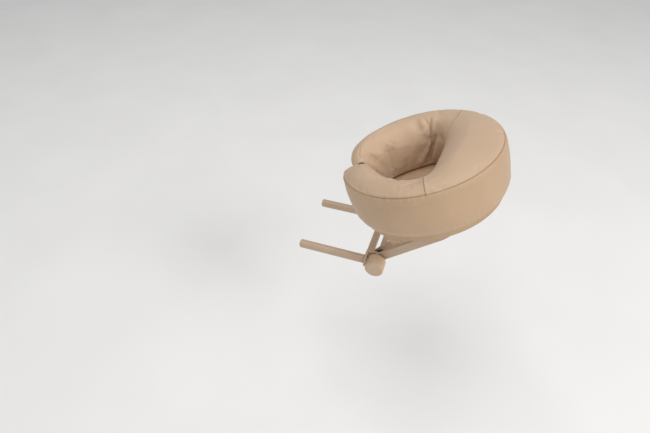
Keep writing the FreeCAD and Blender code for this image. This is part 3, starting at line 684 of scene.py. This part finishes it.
def pile(name, colour, scale):
    material, tree, shader, where = new_material(name, colour, roughness=0.9, specular=0.1)
    fibre = noise(tree, where, scale, detail=6.0, rough=0.7)
    tint_by(tree, shader, fibre, scaled(colour, 0.7), scaled(colour, 1.1))
    bump(tree, shader, fibre, strength=0.6, distance=0.0008)
    shader.inputs["Sheen Weight"].default_value = 0.3
    return material


def foam(name, colour):
    material, tree, shader, where = new_material(name, colour, roughness=0.95, specular=0.05)
    cells = cell_distance(tree, where, scale=700.0)
    tint_by(tree, shader, cells, scaled(colour, 1.02), scaled(colour, 0.8), low=0.1, high=0.7)
    bump(tree, shader, cells, strength=0.5, distance=0.0006)
    return material


BY_SLOT = {
    "foam": foam("foam", srgb(232, 222, 186)),
    "loop": pile("loop_pile", srgb(176, 152, 124), scale=900.0),
    "hook": pile("hook_pile", srgb(150, 128, 104), scale=600.0),
    "board": board_paint("board_paint", srgb(196, 166, 134)),
    "frame_paint": painted("frame_paint", srgb(196, 170, 144), roughness=0.42),
    "knob_plastic": painted("knob_plastic", srgb(207, 180, 152), roughness=0.45, grain=900.0),
    "zinc": plated("zinc", srgb(196, 172, 142), roughness=0.42),
    "brass": plated("brass", srgb(208, 178, 112), roughness=0.3),
    "dark_nylon": painted("dark_nylon", srgb(44, 37, 31), roughness=0.5),
}
# The vinyl nodes are the cover's panels, which are replaced below.
slots = {entry["node"]: entry["material_slot"] for entry in frame["record"]["subparts"]}
for name, node in frame["nodes"].items():
    if slots[name] != "vinyl":
        node.data.materials.clear()
        node.data.materials.append(BY_SLOT[slots[name]])

# ---- cushion pieces -----------------------------------------------------------------------

# The outer band takes the darker copy of the vinyl, painted shade on the cushion's side.
band_vinyl_shaded = vinyl("vinyl_band_shaded", VINYL_BAND_SHADED)
top_vinyl = vinyl("vinyl_top", VINYL)
for name, mask in panel_faces.items():
    chosen = quads[mask]
    polygons = []
    if name in CAPPED:
        end = CAPPED[name]
        chosen = np.concatenate([chosen, cap_quads[end * per_end:(end + 1) * per_end]])
        polygons = [middles[end]]
    panel, used = make_mesh("cover_" + name, scene_points, chosen, polygons)
    # Carries the painted shade of the seams' grooves to the panel's vinyl.
    layer = panel.data.attributes.new("crease_shade", "FLOAT", "POINT")
    layer.data.foreach_set("value", crease_shade[used].astype(np.float32))
    panel.data.materials.append(band_vinyl_shaded if name == "outer_band" else top_vinyl)
    thick = panel.modifiers.new("thickness", "SOLIDIFY")
    thick.thickness = SKIN / 1000.0
    thick.offset = -1.0
    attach(panel, "cushion")
    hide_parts(name)

core_points = ring_surface(coarse_angles, coarse_q) + give
core_normals, core_facing = surface_normals(core_points, coarse_q)
core_points = core_points - core_normals * core_facing * CORE_DEPTH
core_points = core_points[np.abs(coarse_angles) <= CORE_END]
core_points, core_quads, core_middles = add_caps(core_points, grid_faces(*core_points.shape[:2]))
core, _ = make_mesh("cushion_foam", to_scene(core_points), core_quads, core_middles)
core.data.materials.append(BY_SLOT["foam"])
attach(core, "cushion")
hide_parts("foam_core")

# ---- floor, light, camera -----------------------------------------------------------------

FLOOR_LEVEL = -0.42
FLOOR_SIDE = 12.0
bpy.ops.mesh.primitive_plane_add(size=FLOOR_SIDE, location=(0.4, 0.8, FLOOR_LEVEL))
floor = bpy.context.object
floor.name = "floor"
floor_paint, floor_tree, floor_shader, floor_where = new_material(
    "floor_paint", srgb(246, 245, 243), roughness=0.8, specular=0.2)
tint_by(floor_tree, floor_shader, noise(floor_tree, floor_where, scale=3.0),
        srgb(244, 243, 241), srgb(248, 247, 245))
floor.data.materials.append(floor_paint)

LIGHT_AIM = (0.08, 0.0, 0.2)


def area_light(name, place, side, power, colour):
    data = bpy.data.lights.new(name, "AREA")
    data.shape = "SQUARE"
    data.size = side
    data.energy = power
    data.color = colour
    lamp = bpy.data.objects.new(name, data)
    lamp.location = place
    lamp.rotation_euler = (Vector(LIGHT_AIM) - Vector(place)).to_track_quat("-Z", "Y").to_euler()
    bpy.context.scene.collection.objects.link(lamp)


area_light("key", (3.0, -0.9, 2.6), side=1.6, power=57.0, colour=(1.0, 0.985, 0.965))
area_light("overhead", (-0.5, -0.2, 4.2), side=2.6, power=63.0, colour=(1.0, 1.0, 1.0))
area_light("fill", (1.0, -3.0, 2.4), side=2.0, power=9.0, colour=(1.0, 0.985, 0.96))
world = bpy.data.worlds.new("studio")
world.use_nodes = True
world.node_tree.nodes["Background"].inputs["Color"].default_value = (0.97, 0.98, 1.0, 1.0)
world.node_tree.nodes["Background"].inputs["Strength"].default_value = 0.45
bpy.context.scene.world = world
bpy.context.scene.view_settings.view_transform = "Standard"

CAMERA_PLACE = (0.1365, -0.7296, 0.7221)
CAMERA_TURN = math.radians(19.2)
CAMERA_PITCH = math.radians(42.0)
LENS = 24.65
SENSOR = 36.0

right = Vector((math.cos(CAMERA_TURN), math.sin(CAMERA_TURN), 0))
level = Vector((-math.sin(CAMERA_TURN), math.cos(CAMERA_TURN), 0))
forward = level * math.cos(CAMERA_PITCH) - Vector((0, 0, math.sin(CAMERA_PITCH)))
upward = right.cross(forward)
camera_data = bpy.data.cameras.new("camera")
camera_data.sensor_width = SENSOR
camera_data.lens = LENS
camera_data.clip_start = 0.02
camera = bpy.data.objects.new("camera", camera_data)
camera.matrix_world = Matrix((
    (right.x, upward.x, -forward.x, CAMERA_PLACE[0]),
    (right.y, upward.y, -forward.y, CAMERA_PLACE[1]),
    (right.z, upward.z, -forward.z, CAMERA_PLACE[2]),
    (0, 0, 0, 1)))
bpy.context.scene.collection.objects.link(camera)
bpy.context.scene.camera = camera

bpy.context.view_layer.update()
